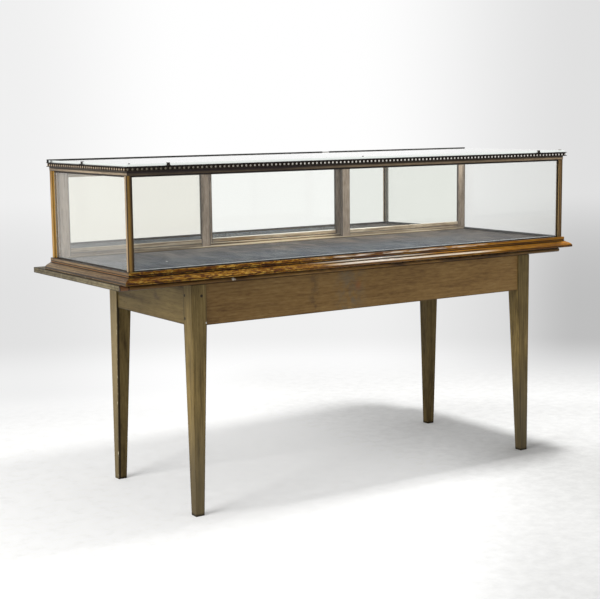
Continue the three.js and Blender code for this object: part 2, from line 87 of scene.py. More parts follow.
# %% A value in a finish
class Strand:
    """One output in a node tree, which can stand in a sum like a number."""

    def __init__(self, finish, socket):
        self.finish = finish
        self.socket = socket

    def sum(self, operation, *terms):
        return self.finish.node("ShaderNodeMath", {"operation": operation}, dict(enumerate(terms)))

    def __add__(self, other):
        return self.sum("ADD", self, other)

    __radd__ = __add__

    def __sub__(self, other):
        return self.sum("SUBTRACT", self, other)

    def __rsub__(self, other):
        return self.sum("SUBTRACT", other, self)

    def __mul__(self, other):
        return self.sum("MULTIPLY", self, other)

    __rmul__ = __mul__

    def __truediv__(self, other):
        return self.sum("DIVIDE", self, other)

    def __pow__(self, other):
        return self.sum("POWER", self, other)

    def size(self):
        return self.sum("ABSOLUTE", self)

    def top(self, other):
        return self.sum("MAXIMUM", self, other)


# %% A finish
def tone(red, green, blue):
    """A colour picked as 0 to 255, as the linear numbers that a node wants."""
    linear = []
    for part in (red, green, blue):
        share = part / 255
        linear.append(share / 12.92 if share <= 0.04045 else ((share + 0.055) / 1.055) ** 2.4)
    return (*linear, 1)


class Finish:
    """A node tree that is being written, for a material or for the world."""

    def __init__(self, name, world=None):
        self.owner = world or bpy.data.materials.new(name)
        self.owner.use_nodes = True
        self.tree = self.owner.node_tree
        self.tree.nodes.clear()
        self.output = self.tree.nodes.new("ShaderNodeOutputWorld" if world else "ShaderNodeOutputMaterial")

    def node(self, kind, settings=None, values=None, out=0):
        made = self.tree.nodes.new(kind)
        for name, value in (settings or {}).items():
            if name != "stops":
                setattr(made, name, value)
                continue
            marks = made.color_ramp.elements
            while len(marks) < len(value):
                marks.new(1)
            for mark, (place, colour) in zip(marks, value):
                mark.position = place
                mark.color = colour
        for key, value in (values or {}).items():
            if isinstance(value, Strand):
                self.tree.links.new(value.socket, made.inputs[key])
            else:
                made.inputs[key].default_value = value
        return Strand(self, made.outputs[out])

    def place(self):
        return self.node("ShaderNodeTexCoord", out="Object")

    def parts(self, vector):
        split = self.node("ShaderNodeSeparateXYZ", None, {0: vector})
        return [Strand(self, end) for end in split.socket.node.outputs]

    def shift(self, vector, step):
        return self.node("ShaderNodeVectorMath", {"operation": "ADD"}, {0: vector, 1: step})

    def stretch(self, vector, scale):
        return self.node("ShaderNodeVectorMath", {"operation": "MULTIPLY"}, {0: vector, 1: scale})

    def away(self, vector, spot):
        """How far a point is from a spot."""
        settings = {"operation": "DISTANCE"}
        return self.node("ShaderNodeVectorMath", settings, {0: vector, 1: spot}, out="Value")

    def noise(self, vector, scale, detail=2, roughness=0.5, distortion=0):
        values = {"Vector": vector, "Scale": scale, "Detail": detail}
        values.update({"Roughness": roughness, "Distortion": distortion})
        return self.node("ShaderNodeTexNoise", None, values)

    def step(self, value, low, high):
        """Rises smoothly from 0 to 1 while value goes from low to high."""
        settings = {"interpolation_type": "SMOOTHSTEP"}
        return self.node("ShaderNodeMapRange", settings, {0: value, 1: low, 2: high})

    def near(self, value, middle, reach):
        """1 at middle, falling smoothly to 0 at reach to either side."""
        return 1 - self.step((value - middle).size(), 0, reach)

    def line(self, value, middle, reach):
        """A thin line of dirt: full strength at middle and gone at reach."""
        return 1 - self.step((value - middle).size(), reach * 0.35, reach)

    def wave(self, value):
        """Rounded bands, one for each whole step of value."""
        return self.node("ShaderNodeMath", {"operation": "SINE"}, {0: value * (2 * math.pi)}) * 0.5 + 0.5

    def ramp(self, value, *stops):
        return self.node("ShaderNodeValToRGB", {"stops": stops}, {0: value})

    def mix(self, share, first, second, blend="MIX"):
        settings = {"data_type": "RGBA", "blend_type": blend}
        return self.node("ShaderNodeMix", settings, {0: share, 6: first, 7: second}, out=2)

    def bump(self, height, depth, strength=1):
        values = {"Height": height, "Distance": depth, "Strength": strength}
        return self.node("ShaderNodeBump", None, values)

    def surface(self, **values):
        values = {name.replace("_", " "): value for name, value in values.items()}
        return self.node("ShaderNodeBsdfPrincipled", None, values)

    def between(self, share, first, second):
        return self.node("ShaderNodeMixShader", None, {0: share, 1: first, 2: second})

    def done(self, shader):
        self.tree.links.new(shader.socket, self.output.inputs["Surface"])
        return self.owner


class Layered(Finish):
    """A finish whose colour is built up in layers."""

    def __init__(self, name):
        super().__init__(name)
        self.spot = self.place()
        self.xyz = self.parts(self.spot)

    def stain(self, share, numbers):
        """Lays a tone, from 0 to 255, over the colour where share is high."""
        self.colour = self.mix(share, self.colour, tone(*numbers))

    def fade(self, share):
        """Darkens the colour where share is below 1 and lights it where it is above."""
        self.colour = self.mix(1, self.colour, share, "MULTIPLY")

    def dab(self, spot, reach, numbers, strength=0.9):
        """A round dab of another tone, such as a filled nail hole or a chip."""
        mask = 1 - self.step(self.away(self.spot, spot), reach * 0.55, reach)
        self.stain(mask * strength, numbers)


print("a mask of 0.5 sRGB grey is", round(tone(128, 128, 128)[0], 3), "in linear light")

# %% [markdown]
# ## The studio
# The object stands on a white floor that sweeps up into a white background. A real sweep would hide the
# object from a camera behind it, so the floor runs on to the horizon and the world carries its pale tones
# on. Close to the table the floor is paint that takes the shadow, with a faint glow on it that is painted
# light and shade, setting how deep the shadow looks. Further off it glows more, and both glows show only to
# rays from the camera, a mirror or glass, so they don't light the object. The paper darkens a little to
# both sides and where it starts to rise.

# %% Rays that see the background
WHITE = (1, 1, 1, 1)


def seen_directly(finish):
    """1 for the rays that show the studio itself: camera, mirror and glass rays."""
    path = finish.node("ShaderNodeLightPath").socket.node
    camera_ray = Strand(finish, path.outputs["Is Camera Ray"])
    mirror_ray = Strand(finish, path.outputs["Is Glossy Ray"])
    glass_ray = Strand(finish, path.outputs["Is Transmission Ray"])
    return camera_ray.top(mirror_ray).top(glass_ray)


def paper(finish, right, ahead):
    """How white the paper is in a direction, from its shares to the right and straight ahead."""
    dim_right = 0.25 * finish.step(right, 0.04, 0.215)
    dim_left = 0.13 * finish.step(0 - right, 0.08, 0.22)
    return 1 - finish.step(ahead, 0.9, 0.965) * (dim_right + dim_left)


# %% World
AMBIENT = 0.5
world = bpy.data.worlds.new("studio_world")
bpy.context.scene.world = world
air = Finish("studio_world", world)
east, north, height = air.parts(air.node("ShaderNodeTexCoord", out="Generated"))
air_right = east * math.cos(TURN) - north * math.sin(TURN)
air_ahead = east * math.sin(TURN) + north * math.cos(TURN)
lit = air.node("ShaderNodeBackground", None, {"Color": WHITE, "Strength": AMBIENT})
pale = paper(air, air_right, air_ahead)
shown = air.node("ShaderNodeBackground", None, {"Color": WHITE, "Strength": pale})
air.done(air.between(seen_directly(air), lit, shown))
print("the world lights at", AMBIENT)

# %% Floor
FLOOR_REACH = 60
PAPER_START = Vector((-2.69, -3.85, 0))
floor_mesh = bmesh.new()
bmesh.ops.create_circle(floor_mesh, cap_ends=True, radius=FLOOR_REACH, segments=96)
floor_data = bpy.data.meshes.new("studio_floor")
floor_mesh.to_mesh(floor_data)
floor_mesh.free()
floor = bpy.data.objects.new("studio_floor", floor_data)
bpy.context.scene.collection.objects.link(floor)

paint = Finish("floor_paint")
floor_place = paint.place()
floor_x = paint.parts(floor_place)[0]
from_start = paint.shift(floor_place, tuple(-PAPER_START))
start_x, start_y = paint.parts(from_start)[:2]
reach = paint.away(floor_place, tuple(PAPER_START))
right = (start_x * math.cos(TURN) - start_y * math.sin(TURN)) / reach
ahead = (start_x * math.sin(TURN) + start_y * math.cos(TURN)) / reach
rise = paint.step(reach, 6.4, 7.6) * (1 - paint.step(reach, 8.5, 22)) * paint.step(ahead, 0.9, 0.965)
far_white = paper(paint, right, ahead) * (1 - rise * (0.13 + 0.18 * paint.step(right, 0.15, 0.21)))
speckle = paint.noise(floor_place, 22, 4, 0.7)
paint_colour = paint.ramp(speckle, (0.3, (0.745, 0.745, 0.735, 1)), (0.7, (0.855, 0.855, 0.845, 1)))
matt = paint.surface(Base_Color=paint_colour, Roughness=0.9, Specular_IOR_Level=0.2)
seen = seen_directly(paint)
# Painted light and shade on the floor: the faint glow is weaker to the right and stronger past the far edge
# of the shadow.
glow_share = 0.2 + 0.03 * paint.step(floor_x, -1.0, -0.4) - 0.17 * paint.step(floor_x, 0.1, 0.8)
glow_share = glow_share + 0.12 * paint.step(reach, 5.6, 5.95)
glow_share = glow_share - 0.22 * paint.step(right, 0.1, 0.2) * (1 - paint.step(reach, 4.7, 5.4))
glow = paint.node("ShaderNodeEmission", None, {"Color": WHITE, "Strength": glow_share * seen})
close = paint.node("ShaderNodeAddShader", None, {0: matt, 1: glow})
distant = paint.node("ShaderNodeEmission", None, {"Color": WHITE, "Strength": far_white})
far_off = paint.step(reach + 0.7 * paint.step(0 - right, 0.02, 0.1), 5.9, 6.9)
floor_data.materials.append(paint.done(paint.between(far_off * seen, close, distant)))
print("the floor reaches", FLOOR_REACH, "m")


# %% Lamps
def softbox(name, place, aim, size, power):
    """A square lamp at place that faces aim."""
    data = bpy.data.lights.new(name, "AREA")
    data.shape = "RECTANGLE"
    data.size, data.size_y = size
    data.energy = power
    lamp = bpy.data.objects.new(name, data)
    lamp.location = place
    lamp.rotation_euler = (Vector(aim) - Vector(place)).to_track_quat("-Z", "Y").to_euler()
    bpy.context.scene.collection.objects.link(lamp)
    return lamp


key = softbox("key_lamp", (1.06, -0.21, 2.2), (0.5, -0.1, 0), (0.2, 0.2), 32)
fill = softbox("fill_lamp", (-4.5, -0.6, 2.2), (0, 0, 0.6), (2.5, 2.5), 172)
fill.visible_glossy = False
print("lamps:", key.name, fill.name)

# %% [markdown]
# ## Wood
# The posts are golden oak, the table is a greyish stained pine and the doors have faded, but one recipe
# makes them all. Growth rings are the contour lines of a noise that is stretched along the grain, flecks
# are short and coarse, fibres are finer and stretched further, and pores are their darkest streaks. A board
# may then get marks of its own: dirt, a stain, a filled hole, and painted light and shade.

# %% Wood recipe
GRAIN = {"X": 0, "Y": 1, "Z": 2}


def along(grain, stretch):
    """Scales for a pattern that is drawn out along the grain."""
    return tuple(stretch if part == GRAIN[grain] else 1 for part in range(3))


def timber(name, grain, tones, rings=9, ring=0.35, fleck=0.3, fine=0.5, blotch=0.5, gloss=0.5,
           shine=0.2, seed=0.0, marks=None, varnish=None):
    """A wood finish: three tones, how strongly each pattern shows, and marks of its own."""
    wood = Layered(name)
    spot = wood.shift(wood.spot, (seed, seed, seed))
    field = wood.noise(wood.stretch(spot, along(grain, 0.08)), 6, 2, 0.5, 0.3)
    late = wood.wave(field * rings) ** 3
    flecks = wood.noise(wood.stretch(spot, along(grain, 0.22)), 130, 2, 0.6)
    streaks = wood.noise(wood.stretch(spot, along(grain, 0.03)), 150, 2, 0.55)
    fibre = wood.noise(wood.stretch(spot, along(grain, 0.02)), 420, 3, 0.6)
    pore = wood.step(wood.noise(wood.stretch(spot, along(grain, 0.04)), 900, 1, 0.5), 0.6, 0.68)
    clouds = wood.noise(wood.stretch(spot, along(grain, 0.45)), 7, 3, 0.6)
    share = 0.5 + (0.35 - late) * ring + (flecks - 0.5) * fleck
    share = share + (streaks - 0.5) * fine + (fibre - 0.5) * fine + (clouds - 0.5) * blotch
    dark, middle, light = tones
    wood.colour = wood.ramp(share, (0.18, tone(*dark)), (0.5, tone(*middle)), (0.82, tone(*light)))
    wood.stain(pore * 0.45, dark)
    if marks:
        marks(wood, *wood.xyz)
    rough = gloss + 0.12 * fibre + 0.1 * pore
    relief = wood.bump(fibre * 0.5 + streaks * 0.3 - pore, 0.0004, 0.6)
    look = {"Base_Color": wood.colour, "Roughness": rough, "Normal": relief, "Specular_IOR_Level": shine}
    if varnish:
        look.update({"Coat_Weight": varnish(wood, *wood.xyz), "Coat_Roughness": 0.13})
    return wood.done(wood.surface(**look))


def dress(material, *names):
    """Gives a CAD piece its finish."""
    for name in names:
        nodes[name].data.materials.clear()
        nodes[name].data.materials.append(material)


def named(*starts):
    return [name for name in nodes if name.startswith(starts)]


def ended(*ends):
    return [name for name in nodes if name.endswith(ends)]


# %% Marks on the legs
# The darkest tone: soot, filled holes and dark joints, and also painted shade along shaded edges and in
# corners.
SOOT_AND_SHADE = (20, 13, 8)
LEG_TAPER = 0.0383
TAPER_TOP = 0.6142
ARRIS_INSET = 0.0305
leg_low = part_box("leg_front_left")[0]
far_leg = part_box("leg_rear_right")[1]
LEG_MIDDLE = (leg_low + far_leg) / 2
LEG_SPAN = (far_leg - leg_low) / 2


def dark_arris_lines(wood, x, y, z):
    """A dark line along the inner arris of each outer face, which follows the taper of the leg."""
    taper = LEG_TAPER * (0 - (0 - z).top(-TAPER_TOP))
    out_x = (x - LEG_MIDDLE.x).size()
    out_y = (y - LEG_MIDDLE.y).size()
    facing_x = wood.step(out_x, LEG_SPAN.x - 0.0008, LEG_SPAN.x - 0.0003)
    facing_y = wood.step(out_y, LEG_SPAN.y - 0.0008, LEG_SPAN.y - 0.0003)
    arris_line = wood.near(out_x + taper, LEG_SPAN.x - ARRIS_INSET, 0.0045) * facing_y
    arris_line = arris_line.top(wood.near(out_y + taper, LEG_SPAN.y - ARRIS_INSET, 0.0045) * facing_x)
    wood.stain(arris_line * 0.8, SOOT_AND_SHADE)


def front_leg_marks(wood, x, y, z):
    """Nails near the top, a paler middle, and grey where feet and brooms have rubbed."""
    dark_arris_lines(wood, x, y, z)
    # Painted shade darkens the lowest part of the leg; the middle is paler.
    wood.fade(0.78 + 0.22 * wood.step(z, 0.02, 0.2) + 0.3 * wood.near(z, 0.37, 0.17))
    wood.stain(0.4 * (1 - wood.step(z, 0.12, 0.4)), (108, 98, 76))
    # Painted shade on the lower left face, and low down on the right legs.
    left = 1 - wood.step(x, leg_low.x + 0.0004, leg_low.x + 0.0014)
    wood.fade(1 - 0.32 * left * (1 - wood.step(z, 0.12, 0.3)))
    wood.fade(1 - 0.24 * wood.step(x, 0, 0.5) * (1 - wood.step(z, 0.2, 0.45)))
    # Painted light on the upper inner face of the right front leg.
    inner = (1 - wood.step(x + z * LEG_TAPER, 0.7169, 0.7179)) * wood.step(x, 0, 0.5)
    wood.fade(1 + 0.25 * inner * wood.step(z, 0.3, 0.5))
    wood.fade(0.25 + 0.75 * wood.step(z, 0.003, 0.012))
    nails = ((leg_low.x, -0.2677, 0.7093), (leg_low.x, -0.2664, 0.6358), (-0.6604, leg_low.y, 0.7097))
    for spot in nails:
        wood.dab(spot, 0.006, SOOT_AND_SHADE)
    wood.dab((-0.6444, leg_low.y, 0.6226), 0.004, (190, 190, 185))


def rear_leg_marks(wood, x, y, z):
    """A dark seam beside the corner of the rear left leg, with scratches through the stain."""
    wood.fade(0.25 + 0.75 * wood.step(z, 0.003, 0.012))
    inner = 1 - wood.step(y + z * LEG_TAPER, 0.2368, 0.2378)
    left = 1 - wood.step(x, leg_low.x + 0.0004, leg_low.x + 0.0014)
    seam = wood.line(x, leg_low.x + 0.0045, 0.0055)
    scratch = wood.step(wood.noise(wood.stretch(wood.spot, (1, 1, 0.3)), 190, 2, 0.6), 0.58, 0.66)
    # Painted light: the left face is paler and lighter, and the whole leg lightens upwards.
    wood.stain(left * 0.5, (118, 106, 82))
    paler = (0.08 + 0.42 * left) * wood.step(z, 0.1, 0.45)
    wood.fade(1.0 + paler)
    dark_arris_lines(wood, x, y, z)
    wood.stain(seam * inner * 0.9, SOOT_AND_SHADE)
    edge = wood.near(y + z * LEG_TAPER, 0.24, 0.006) * left
    wood.stain(scratch * edge * 0.75, (190, 180, 156))


print("the legs lose", LEG_TAPER, "of their height from their width")

# %% Marks on the aprons and the nosing
apron_low, apron_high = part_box("apron_front")


def apron_side_marks(wood, x, y, z):
    # Painted light: the side aprons are lighter towards the front.
    wood.fade(1 + 0.32 * (1 - wood.step(y, -0.17, 0.08)))
    knot = wood.near(y, -0.07, 0.06) * wood.near(z, 0.69, 0.03)
    knot = knot * wood.step(wood.noise(wood.spot, 26, 3, 0.6), 0.45, 0.6)
    wood.stain(knot * 0.5, (62, 52, 42))
    # Painted shade along the lower edge.
    wood.stain((1 - wood.step(z, apron_low.z + 0.001, apron_low.z + 0.0035)) * 0.8, SOOT_AND_SHADE)


def apron_marks(wood, x, y, z):
    wood.fade(0.82 + 0.18 * wood.step(x, -0.65, -0.1) + 0.12 * wood.step(x, 0.1, 0.5))
    cloud = wood.noise(wood.spot, 30, 3, 0.6)
    blue = wood.near(x, -0.08, 0.09) * wood.step(cloud, 0.38, 0.66)
    wood.stain(blue * 0.55, (92, 90, 80))
    dark = wood.near(x, -0.228, 0.03) * wood.step(cloud, 0.48, 0.58)
    wood.stain(dark * 0.4, (56, 48, 40))
    rust = wood.near(x, -0.045, 0.02) * wood.near(z, 0.694, 0.025)
    wood.stain(rust * 0.5, (140, 82, 40))
    joints = wood.line(x, apron_low.x + 0.001, 0.0025) * 0.6
    joints = joints.top(wood.line(x, apron_high.x - 0.0015, 0.0035))
    # Painted shade along the lower edge; the dark joints at both ends are the wood's own.
    foot = 1 - wood.step(z, apron_low.z + 0.001, apron_low.z + 0.0035)
    wood.stain(joints.top(foot * 0.7) * 0.9, SOOT_AND_SHADE)


def nosing_marks(wood, x, y, z):
    wood.dab((-0.5445, -0.3142, 0.7545), 0.0065, (235, 232, 222), 1)
    wood.dab((-0.5375, -0.3142, 0.7525), 0.004, (215, 205, 190), 0.8)
    paler = wood.near(z, 0.7592, 0.003) * wood.step(wood.noise(wood.spot, 60, 2), 0.4, 0.6)
    paler = paler * (0.3 + 0.4 * wood.step(x, -0.6, 0)).top(0.85 * wood.near(x, -0.81, 0.05))
    wood.stain(paler, (186, 166, 128))
    wood.fade(0.82 + 0.44 * wood.step(x, -0.55, -0.2) - 0.46 * wood.step(x, 0.2, 0.6))
    wood.stain(0.4 * (1 - wood.step(x, -0.7, -0.3)), (98, 64, 18))
    end_block = 1 - wood.step(x, -0.915, -0.913)
    wood.stain(end_block * 0.75, (118, 80, 54))
    outline = wood.line(x, -0.9125, 0.0028).top(wood.line(x, -0.9415, 0.0018))
    # Painted shade along the top edge, under the moulding, and along the bottom edge.
    edges = (1 - wood.step(z, 0.7462, 0.749)).top(wood.step(z, 0.7603, 0.7622))
    wood.stain(outline.top(edges) * 0.9, SOOT_AND_SHADE)


print("the aprons are", round(apron_high.z - apron_low.z, 4), "m deep")

# %% Marks on the base
base_low, base_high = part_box("base_rail_front")
INNER_FACE = 0.025
FACE_EDGE = 0.001


def base_marks(wood, x, y, z):
    """Dirt and painted shade in the two quirks and above the nose, painted shade along the foot of the
    moulding, and a dark inner face.
    """
    quirks = wood.line(z, 0.7911, 0.0026).top(wood.line(z, 0.7858, 0.0026))
    quirks = quirks.top(wood.line(z, 0.769, 0.0018))
    under = 1 - wood.step(z, 0.7645, 0.7668)
    inside = 1
    for depth in (y - base_low.y, x - base_low.x, base_high.x - x):
        inside = wood.step(depth, INNER_FACE, INNER_FACE + FACE_EDGE) * inside
    wood.stain(quirks.top(under).top(inside) * 0.88, SOOT_AND_SHADE)


def base_side_marks(wood, x, y, z):
    """On the sides the bead carries a painted highlight as a bright line, and dark lines of grime and
    painted shade run along both edges and across the ogee.
    """
    wood.stain(0.4 * (1 - wood.step(y, -0.25, 0.0)), (84, 56, 28))
    # Painted highlight along the bead.
    wood.stain(wood.line(z, 0.7884, 0.002) * 0.7, (158, 112, 66))
    fleck = wood.step(wood.noise(wood.stretch(wood.spot, (1, 0.4, 1)), 230, 2, 0.6), 0.58, 0.66)
    wood.stain(fleck * (1 - wood.step(z, 0.783, 0.785)) * 0.5, (164, 148, 120))
    grime_and_shade = wood.step(z, 0.7988, 0.8).top(wood.line(z, 0.7715, 0.0028))
    grime_and_shade = grime_and_shade.top(wood.line(z, 0.7778, 0.0016) * 0.6)
    wood.stain(grime_and_shade * 0.85, SOOT_AND_SHADE)
    base_marks(wood, x, y, z)


def base_varnish(wood, x, y, z):
    """The varnish is thickest in the middle of the front, where it was least handled."""
    return (0.04 + 0.5 * wood.near(x, 0.1, 0.5)) * (1 - wood.line(z, 0.7797, 0.0028))


def base_front_marks(wood, x, y, z):
    """The flame figure of the left half: short dark and golden flecks."""
    left = 1 - wood.step(x, -0.5, 0.2)
    flame = wood.noise(wood.stretch(wood.spot, (0.25, 1, 1)), 165, 3, 0.7, 1.0)
    wood.stain(wood.step(flame, 0.49, 0.54) * left * 0.88, (78, 38, 22))
    wood.stain(wood.step(0 - flame, -0.45, -0.39) * left * 0.8, (216, 176, 84))
    wood.fade(1 - 0.36 * (1 - wood.step(x, -0.85, -0.5)) - 0.22 * wood.step(x, 0.5, 0.72))
    # Partly the wood's own orange and partly painted light, a pool of the key lamp's light towards the
    # right.
    glow = 0.75 * wood.near(x, 0.36, 0.25) + 0.12 * wood.step(x, 0.5, 0.7)
    wood.stain(glow * wood.step(z, 0.7725, 0.7745), (222, 150, 40))
    red = wood.step(wood.noise(wood.stretch(wood.spot, (0.12, 1, 1)), 70, 2, 0.6), 0.52, 0.62)
    above = wood.step(z, 0.785, 0.788) * wood.step(x, -0.3, 0.1)
    wood.stain(red * (0.25 + 0.5 * above), (92, 44, 20))
    # Painted highlights: pale streaked lines along the moulding in the middle of the front, with a dark
    # line between them.
    highlight_streaks = wood.step(wood.noise(wood.stretch(wood.spot, (0.1, 1, 1)), 160, 2, 0.6), 0.42, 0.56)
    middle = wood.step(x, -0.3, -0.1) * (1 - wood.step(x, 0.46, 0.6))
    pale = wood.line(z, 0.7968, 0.0032) * middle * highlight_streaks
    pale = pale.top(wood.line(z, 0.7745, 0.0034) * middle * wood.step(x, -0.24, -0.1))
    pale = pale.top(wood.line(z, 0.783, 0.0024) * middle * (1 - wood.step(x, 0.15, 0.3)))
    wood.stain(pale * 0.95, (250, 240, 220))
    wood.stain(wood.line(z, 0.7797, 0.0026) * middle * 0.9, SOOT_AND_SHADE)
    base_marks(wood, x, y, z)


print("the front of the base runs from", round(base_low.x, 4), "to", round(base_high.x, 4))


# %% Marks on the head and the posts
def head_marks(wood, x, y, z):
    """A band of light brown between the shade under the beads and a dark lower edge."""
    band = wood.step(z, 1.093, 1.0945) * (1 - wood.step(z, 1.0985, 1.1015))
    wood.fade(0.2 + 0.9 * band)


def head_front_marks(wood, x, y, z):
    purple = (1 - wood.step(x, -0.5, 0.1)) * wood.step(z, 1.0945, 1.0965)
    head_marks(wood, x, y, z)
    wood.stain(purple * 0.6, (52, 42, 46))
    # Painted light and shade: the front is dark at the left end and lighter towards the right.
    wood.fade(0.62 + 0.8 * wood.step(x, -0.55, 0.2) + 0.6 * wood.step(x, 0.4, 0.7))


def post_marks(wood, x, y, z):
    """Dirt and painted shade in the fine grooves beside the rounded corner of the front posts, and painted
    light on the left face.
    """
    front = 1 - wood.step(y, -0.3119, -0.3112)
    left = 1 - wood.step(x, -0.9081, -0.9074)
    # Painted light: the rear strip of the left face is paler.
    wood.stain(left * (1 - wood.step(0 - y, 0.3035, 0.305)) * 0.6, (170, 148, 118))
    gold = wood.near(x, -0.904, 0.005) * front
    wood.stain(gold * 0.7, (168, 132, 66))
    tan = wood.near(x, 0.903, 0.005) * front
    wood.stain(tan * 0.5, (160, 122, 70))
    # Dirt and painted shade in the grooves and along the inner edge of the front face.
    grooves = wood.step(x, -0.8985, -0.896) * (1 - wood.step(x, 0, 0.1)) * 0.85
    grooves = grooves.top(wood.line(x, 0.8975, 0.002)).top(wood.line(x, 0.9078, 0.0022)) * front
    grooves = grooves.top(left * wood.line(y, -0.309, 0.0045))
    behind = wood.step(y, -0.2968, -0.2958) * wood.step(x, 0, 0.5)
    wood.stain(behind * 0.8, (206, 204, 196))
    reveal = wood.step(x, 0, 0.5) * (1 - wood.step(x, 0.8969, 0.8976))
    wood.stain(reveal * 0.6, (190, 158, 106))
    grooves = grooves.top(reveal * wood.near(y, -0.2975, 0.0035) * 0.9)
    wood.stain(grooves * 0.9, SOOT_AND_SHADE)


print("soot is the darkest tone, at", SOOT_AND_SHADE)

# %% Marks on the top, the tracks and the doors
track_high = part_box("track_lower")[1]
rail_low, rail_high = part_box("door_middle_rail_bottom")
STILE_LINE = 0.0035
DOORS = ("door_left", "door_middle", "door_right")


def slab_marks(wood, x, y, z):
    wood.fade(1 - 0.3 * wood.step(y, -0.3, 0.3))
    scratch = wood.line(z, 0.7545, 0.0018) * 0.4
    # Painted shade along the top edge of the left end, under the moulding, and along the bottom edge.
    rim = wood.step(z, 0.7608, 0.7626) * (1 - wood.step(x, -0.9396, -0.938))
    edges = (1 - wood.step(z, 0.7462, 0.7492)).top(rim)
    wood.stain(scratch.top(edges * 0.85), SOOT_AND_SHADE)


def track_marks(wood, x, y, z):
    """The tops of the ribs carry painted highlights, and dust lies in the channels."""
    ridge = track_high.z
    dust = wood.near(z, ridge - 0.0048, 0.0036).top(1 - wood.step(z, 0.7996, 0.8014))
    wood.stain(dust * 0.75, (66, 54, 38))
    # Painted highlights on the tops of the ribs.
    bright = wood.line(z, ridge - 0.0006, 0.0018).top(wood.line(z, 0.8036, 0.0016))
    bay = wood.step(x, -0.42, -0.34) - 0.6 * wood.step(x, 0.2, 0.3)
    wood.fade(0.66 + 0.4 * bay)
    wood.stain(bright * (0.1 + 0.7 * bay), (244, 234, 206))


def door_rail_marks(wood, x, y, z):
    """Golden where the left end of the middle door was shaded, with a painted highlight along the upper
    edge.
    """
    wood.stain(wood.near(x, -0.17, 0.15) * 0.65, (152, 114, 52))
    wood.fade(1 + 0.34 * wood.step(x, -0.06, 0.02) - 0.16 * wood.step(x, 0.25, 0.3))
    wood.fade(1 - 0.35 * (1 - wood.step(z, rail_low.z, rail_high.z - 0.006)))
    wood.stain(wood.line(z, track_high.z + 0.0016, 0.002) * 0.8, SOOT_AND_SHADE)
    # Painted highlight along the upper edge.
    bright = wood.line(z, rail_high.z - 0.0008, 0.0018) * (0.15 + 0.75 * wood.step(x, -0.33, -0.31))
    wood.stain(bright * (1 - 0.8 * wood.step(x, 0.4, 0.55)), (250, 246, 232))


def stile_marks(door):
    """Thin dark lines of painted shade run along both edges of each stile of a door, and painted light
    makes the stiles lighter towards the right.
    """
    edges = []
    for side in ("_stile_left", "_stile_right"):
        stile_low, stile_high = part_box(door + side)
        edges += [stile_low.x + 0.0005, stile_high.x - 0.0005]

    def marks(wood, x, y, z):
        dark = wood.line(x, edges[0], STILE_LINE)
        for edge in edges[1:]:
            dark = dark.top(wood.line(x, edge, STILE_LINE))
        # Painted light: lighter overall and more so towards the right.
        wood.fade(1.1 + 0.4 * wood.step(x, 0.5, 0.8))
        wood.stain(dark * 0.65, (44, 40, 36))

    return marks


print("the doors are", DOORS)

# %% Table woods
LEG = ((66, 53, 27), (107, 90, 52), (134, 114, 72))
SHADED = ((56, 44, 22), (92, 77, 45), (114, 97, 60))
SLAB = ((66, 58, 42), (102, 92, 68), (132, 122, 96))
APRON = ((90, 64, 32), (125, 96, 54), (142, 114, 70))
NOSING = ((54, 34, 12), (104, 75, 36), (138, 106, 56))
dress(timber("leg_wood", "Z", LEG, ring=0.12, fine=0.8, marks=front_leg_marks), *named("leg_front"))
dress(
    timber("rear_leg_wood", "Z", SHADED, ring=0.2, fleck=0.5, shine=0.1, seed=3.1, marks=rear_leg_marks),
    *named("leg_rear", "corner_block_"),
)
dress(timber("slab_wood", "X", SLAB, ring=0.2, fleck=0.6, seed=1.7, marks=slab_marks), "table_top")
dress(
    timber("apron_wood_y", "Y", SHADED, ring=0.3, seed=2.3, marks=apron_side_marks),
    "apron_left", "apron_right",
)
dress(timber("apron_wood_x", "X", SHADED, ring=0.3, seed=5.2), "apron_rear")
dress(timber("apron_wood", "X", APRON, ring=0.1, fleck=0.7, marks=apron_marks), "apron_front")
dress(timber("nosing_wood", "X", NOSING, fleck=0.5, gloss=0.35, marks=nosing_marks), "front_nosing")
print("the table stands on", len(named("leg_")), "legs")

# %% Showcase woods
OAK = ((84, 44, 6), (166, 110, 20), (204, 152, 56))
# SIDE_OAK is the oak greyed for the end rails, partly as painted sheen of the white light on them; the rear
# rail shares it.
SIDE_OAK = ((54, 36, 18), (100, 78, 50), (138, 116, 84))
POST_OAK = ((50, 34, 12), (92, 68, 32), (128, 98, 54))
GOLD_OAK = ((80, 52, 16), (132, 98, 42), (170, 132, 68))
GREY_OAK = ((104, 97, 84), (158, 149, 134), (184, 174, 158))
HEAD = ((62, 52, 42), (112, 96, 76), (140, 122, 98))
# HEAD_LIT_SIDE is the head tone made paler for the end rails: painted light from the lamp on the left.
HEAD_LIT_SIDE = ((66, 57, 48), (122, 108, 90), (152, 136, 114))
dress(
    timber(
        "base_oak_front", "X", OAK, ring=0.2, fleck=0.5, gloss=0.24, shine=0.08,
        marks=base_front_marks, varnish=base_varnish,
    ),
    "base_rail_front",
)
dress(
    timber("base_oak_side", "Y", SIDE_OAK, ring=0.25, fleck=0.5, gloss=0.34, marks=base_side_marks),
    "base_rail_left", "base_rail_right",
)
dress(timber("base_oak_rear", "X", SIDE_OAK, seed=4.4), "base_rail_rear")
dress(
    timber("post_oak", "Z", POST_OAK, ring=0.3, gloss=0.28, marks=post_marks),
    "post_front_left", "post_front_right",
)
dress(timber("post_oak_grey", "Z", GREY_OAK, ring=0.3, gloss=0.4, seed=0.4), "post_rear_right")
dress(timber("post_oak_gold", "Z", GOLD_OAK, gloss=0.35, seed=1.2), "post_rear_left")
dress(timber("head_oak_front", "X", HEAD, ring=0.2, fleck=0.4, marks=head_front_marks), "head_rail_front")
dress(timber("head_oak_rear", "X", HEAD, seed=2.8), "head_rail_rear")
